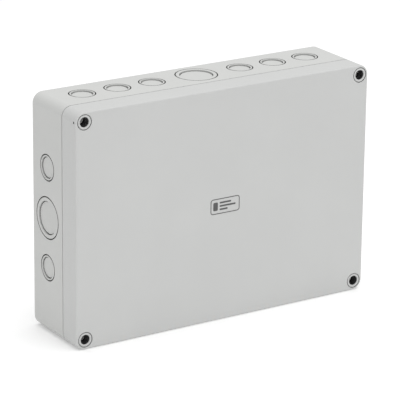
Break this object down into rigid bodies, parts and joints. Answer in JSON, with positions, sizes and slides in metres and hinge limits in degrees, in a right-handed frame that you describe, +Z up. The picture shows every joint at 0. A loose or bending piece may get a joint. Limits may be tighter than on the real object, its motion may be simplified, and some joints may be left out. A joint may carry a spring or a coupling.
{
  "type": "electrical junction box",
  "caption": "Rectangular plastic wall enclosure with knock-out cable entries, a gasketed lid held by captive corner screws, and a rail of screw terminals inside.",
  "frame": {"origin": "Centre of the bottom of the bounding box: the middle of the long narrow face that it stands on.", "axes": "+X along the width, to the right as seen from the lid. +Y from the lid to the back. +Z up the height."},
  "size_m": [0.254, 0.063, 0.18],
  "materials": {
    "housing": "light grey moulded thermoplastic, fine matt texture",
    "lid": "light grey moulded thermoplastic, fine matt texture",
    "gasket": "foamed seal",
    "lid_screw": "stainless, slightly dulled",
    "retainer": "natural nylon",
    "zinc": "zinc-plated steel",
    "clamp_steel": "nickel-plated steel",
    "brass": "tinned brass, worn",
    "terminal_plastic": "grey-beige polyamide",
    "neutral_plastic": "blue polyamide",
    "earth_plastic": "green and yellow polyamide",
    "bracket": "dark grey polyamide",
    "marker": "white blank tag"
  },
  "bodies": {
    "base": {"base_housing": "housing", "din_rail": "zinc", "rail_screw_left": "zinc", "rail_screw_right": "zinc", "terminal_end_plate": "terminal_plastic", "end_bracket_left": "bracket", "end_bracket_right": "bracket", "end_bracket_screw_left": "zinc", "end_bracket_screw_right": "zinc", "earth_rail_foot": "zinc", "line_1_terminal_housing": "terminal_plastic", "line_1_current_bar": "brass", "line_1_marker": "marker", "line_2_terminal_housing": "terminal_plastic", "line_2_current_bar": "brass", "line_2_marker": "marker", "line_3_terminal_housing": "terminal_plastic", "line_3_current_bar": "brass", "line_3_marker": "marker", "neutral_terminal_housing": "neutral_plastic", "neutral_current_bar": "brass", "neutral_marker": "marker", "earth_terminal_housing": "earth_plastic", "earth_current_bar": "brass", "earth_marker": "marker"},
    "lid": {"lid": "lid", "lid_gasket": "gasket"},
    "retainer_top_left": {"screw_retainer_top_left": "retainer"},
    "screw_top_left": {"lid_screw_top_left": "lid_screw"},
    "retainer_top_right": {"screw_retainer_top_right": "retainer"},
    "screw_top_right": {"lid_screw_top_right": "lid_screw"},
    "retainer_bottom_left": {"screw_retainer_bottom_left": "retainer"},
    "screw_bottom_left": {"lid_screw_bottom_left": "lid_screw"},
    "retainer_bottom_right": {"screw_retainer_bottom_right": "retainer"},
    "screw_bottom_right": {"lid_screw_bottom_right": "lid_screw"},
    "line_1_upper_cage": {"line_1_upper_clamp": "clamp_steel"},
    "line_1_upper_screw": {"line_1_upper_clamp_screw": "clamp_steel"},
    "line_1_lower_cage": {"line_1_lower_clamp": "clamp_steel"},
    "line_1_lower_screw": {"line_1_lower_clamp_screw": "clamp_steel"},
    "line_2_upper_cage": {"line_2_upper_clamp": "clamp_steel"},
    "line_2_upper_screw": {"line_2_upper_clamp_screw": "clamp_steel"},
    "line_2_lower_cage": {"line_2_lower_clamp": "clamp_steel"},
    "line_2_lower_screw": {"line_2_lower_clamp_screw": "clamp_steel"},
    "line_3_upper_cage": {"line_3_upper_clamp": "clamp_steel"},
    "line_3_upper_screw": {"line_3_upper_clamp_screw": "clamp_steel"},
    "line_3_lower_cage": {"line_3_lower_clamp": "clamp_steel"},
    "line_3_lower_screw": {"line_3_lower_clamp_screw": "clamp_steel"},
    "neutral_upper_cage": {"neutral_upper_clamp": "clamp_steel"},
    "neutral_upper_screw": {"neutral_upper_clamp_screw": "clamp_steel"},
    "neutral_lower_cage": {"neutral_lower_clamp": "clamp_steel"},
    "neutral_lower_screw": {"neutral_lower_clamp_screw": "clamp_steel"},
    "earth_upper_cage": {"earth_upper_clamp": "clamp_steel"},
    "earth_upper_screw": {"earth_upper_clamp_screw": "clamp_steel"},
    "earth_lower_cage": {"earth_lower_clamp": "clamp_steel"},
    "earth_lower_screw": {"earth_lower_clamp_screw": "clamp_steel"}
  },
  "joints": [
    {"name": "lid_lift_off", "type": "slide", "parent": "base", "child": "lid", "axis": [0, -1, 0], "range_m": [0, 0.08]},
    {"name": "lid_screw_top_left_travel", "type": "slide", "parent": "lid", "child": "retainer_top_left", "axis": [0, -1, 0], "range_m": [0, 0.006]},
    {"name": "lid_screw_top_left_turn", "type": "hinge", "parent": "retainer_top_left", "child": "screw_top_left", "pos_m": [-0.1195, -0.0185, 0.1725], "axis": [0, -1, 0], "range_deg": [0, 1080]},
    {"name": "lid_screw_top_right_travel", "type": "slide", "parent": "lid", "child": "retainer_top_right", "axis": [0, -1, 0], "range_m": [0, 0.006]},
    {"name": "lid_screw_top_right_turn", "type": "hinge", "parent": "retainer_top_right", "child": "screw_top_right", "pos_m": [0.1195, -0.0185, 0.1725], "axis": [0, -1, 0], "range_deg": [0, 1080]},
    {"name": "lid_screw_bottom_left_travel", "type": "slide", "parent": "lid", "child": "retainer_bottom_left", "axis": [0, -1, 0], "range_m": [0, 0.006]},
    {"name": "lid_screw_bottom_left_turn", "type": "hinge", "parent": "retainer_bottom_left", "child": "screw_bottom_left", "pos_m": [-0.1195, -0.0185, 0.0075], "axis": [0, -1, 0], "range_deg": [0, 1080]},
    {"name": "lid_screw_bottom_right_travel", "type": "slide", "parent": "lid", "child": "retainer_bottom_right", "axis": [0, -1, 0], "range_m": [0, 0.006]},
    {"name": "lid_screw_bottom_right_turn", "type": "hinge", "parent": "retainer_bottom_right", "child": "screw_bottom_right", "pos_m": [0.1195, -0.0185, 0.0075], "axis": [0, -1, 0], "range_deg": [0, 1080]},
    {"name": "line_1_upper_screw_turn", "type": "hinge", "parent": "base", "child": "line_1_upper_screw", "pos_m": [-0.0202, -0.0135, 0.1035], "axis": [0, 1, 0], "range_deg": [0, 1800]},
    {"name": "line_1_upper_cage_rise", "type": "slide", "parent": "base", "child": "line_1_upper_cage", "axis": [0, -1, 0], "range_m": [0, 0.0035]},
    {"name": "line_1_lower_screw_turn", "type": "hinge", "parent": "base", "child": "line_1_lower_screw", "pos_m": [-0.0202, -0.0135, 0.0765], "axis": [0, 1, 0], "range_deg": [0, 1800]},
    {"name": "line_1_lower_cage_rise", "type": "slide", "parent": "base", "child": "line_1_lower_cage", "axis": [0, -1, 0], "range_m": [0, 0.0035]},
    {"name": "line_2_upper_screw_turn", "type": "hinge", "parent": "base", "child": "line_2_upper_screw", "pos_m": [-0.0098, -0.0135, 0.1035], "axis": [0, 1, 0], "range_deg": [0, 1800]},
    {"name": "line_2_upper_cage_rise", "type": "slide", "parent": "base", "child": "line_2_upper_cage", "axis": [0, -1, 0], "range_m": [0, 0.0035]},
    {"name": "line_2_lower_screw_turn", "type": "hinge", "parent": "base", "child": "line_2_lower_screw", "pos_m": [-0.0098, -0.0135, 0.0765], "axis": [0, 1, 0], "range_deg": [0, 1800]},
    {"name": "line_2_lower_cage_rise", "type": "slide", "parent": "base", "child": "line_2_lower_cage", "axis": [0, -1, 0], "range_m": [0, 0.0035]},
    {"name": "line_3_upper_screw_turn", "type": "hinge", "parent": "base", "child": "line_3_upper_screw", "pos_m": [0.0006, -0.0135, 0.1035], "axis": [0, 1, 0], "range_deg": [0, 1800]},
    {"name": "line_3_upper_cage_rise", "type": "slide", "parent": "base", "child": "line_3_upper_cage", "axis": [0, -1, 0], "range_m": [0, 0.0035]},
    {"name": "line_3_lower_screw_turn", "type": "hinge", "parent": "base", "child": "line_3_lower_screw", "pos_m": [0.0006, -0.0135, 0.0765], "axis": [0, 1, 0], "range_deg": [0, 1800]},
    {"name": "line_3_lower_cage_rise", "type": "slide", "parent": "base", "child": "line_3_lower_cage", "axis": [0, -1, 0], "range_m": [0, 0.0035]},
    {"name": "neutral_upper_screw_turn", "type": "hinge", "parent": "base", "child": "neutral_upper_screw", "pos_m": [0.011, -0.0135, 0.1035], "axis": [0, 1, 0], "range_deg": [0, 1800]},
    {"name": "neutral_upper_cage_rise", "type": "slide", "parent": "base", "child": "neutral_upper_cage", "axis": [0, -1, 0], "range_m": [0, 0.0035]},
    {"name": "neutral_lower_screw_turn", "type": "hinge", "parent": "base", "child": "neutral_lower_screw", "pos_m": [0.011, -0.0135, 0.0765], "axis": [0, 1, 0], "range_deg": [0, 1800]},
    {"name": "neutral_lower_cage_rise", "type": "slide", "parent": "base", "child": "neutral_lower_cage", "axis": [0, -1, 0], "range_m": [0, 0.0035]},
    {"name": "earth_upper_screw_turn", "type": "hinge", "parent": "base", "child": "earth_upper_screw", "pos_m": [0.0214, -0.0135, 0.1035], "axis": [0, 1, 0], "range_deg": [0, 1800]},
    {"name": "earth_upper_cage_rise", "type": "slide", "parent": "base", "child": "earth_upper_cage", "axis": [0, -1, 0], "range_m": [0, 0.0035]},
    {"name": "earth_lower_screw_turn", "type": "hinge", "parent": "base", "child": "earth_lower_screw", "pos_m": [0.0214, -0.0135, 0.0765], "axis": [0, 1, 0], "range_deg": [0, 1800]},
    {"name": "earth_lower_cage_rise", "type": "slide", "parent": "base", "child": "earth_lower_cage", "axis": [0, -1, 0], "range_m": [0, 0.0035]}
  ],
  "couplings": [
    {"joint": "lid_screw_top_left_turn", "follows": "lid_screw_top_left_travel", "rad_per_m": 3141.6},
    {"joint": "lid_screw_top_right_turn", "follows": "lid_screw_top_right_travel", "rad_per_m": 3141.6},
    {"joint": "lid_screw_bottom_left_turn", "follows": "lid_screw_bottom_left_travel", "rad_per_m": 3141.6},
    {"joint": "lid_screw_bottom_right_turn", "follows": "lid_screw_bottom_right_travel", "rad_per_m": 3141.6},
    {"joint": "line_1_upper_screw_turn", "follows": "line_1_upper_cage_rise", "rad_per_m": 8976},
    {"joint": "line_1_lower_screw_turn", "follows": "line_1_lower_cage_rise", "rad_per_m": 8976},
    {"joint": "line_2_upper_screw_turn", "follows": "line_2_upper_cage_rise", "rad_per_m": 8976},
    {"joint": "line_2_lower_screw_turn", "follows": "line_2_lower_cage_rise", "rad_per_m": 8976},
    {"joint": "line_3_upper_screw_turn", "follows": "line_3_upper_cage_rise", "rad_per_m": 8976},
    {"joint": "line_3_lower_screw_turn", "follows": "line_3_lower_cage_rise", "rad_per_m": 8976},
    {"joint": "neutral_upper_screw_turn", "follows": "neutral_upper_cage_rise", "rad_per_m": 8976},
    {"joint": "neutral_lower_screw_turn", "follows": "neutral_lower_cage_rise", "rad_per_m": 8976},
    {"joint": "earth_upper_screw_turn", "follows": "earth_upper_cage_rise", "rad_per_m": 8976},
    {"joint": "earth_lower_screw_turn", "follows": "earth_lower_cage_rise", "rad_per_m": 8976}
  ]
}
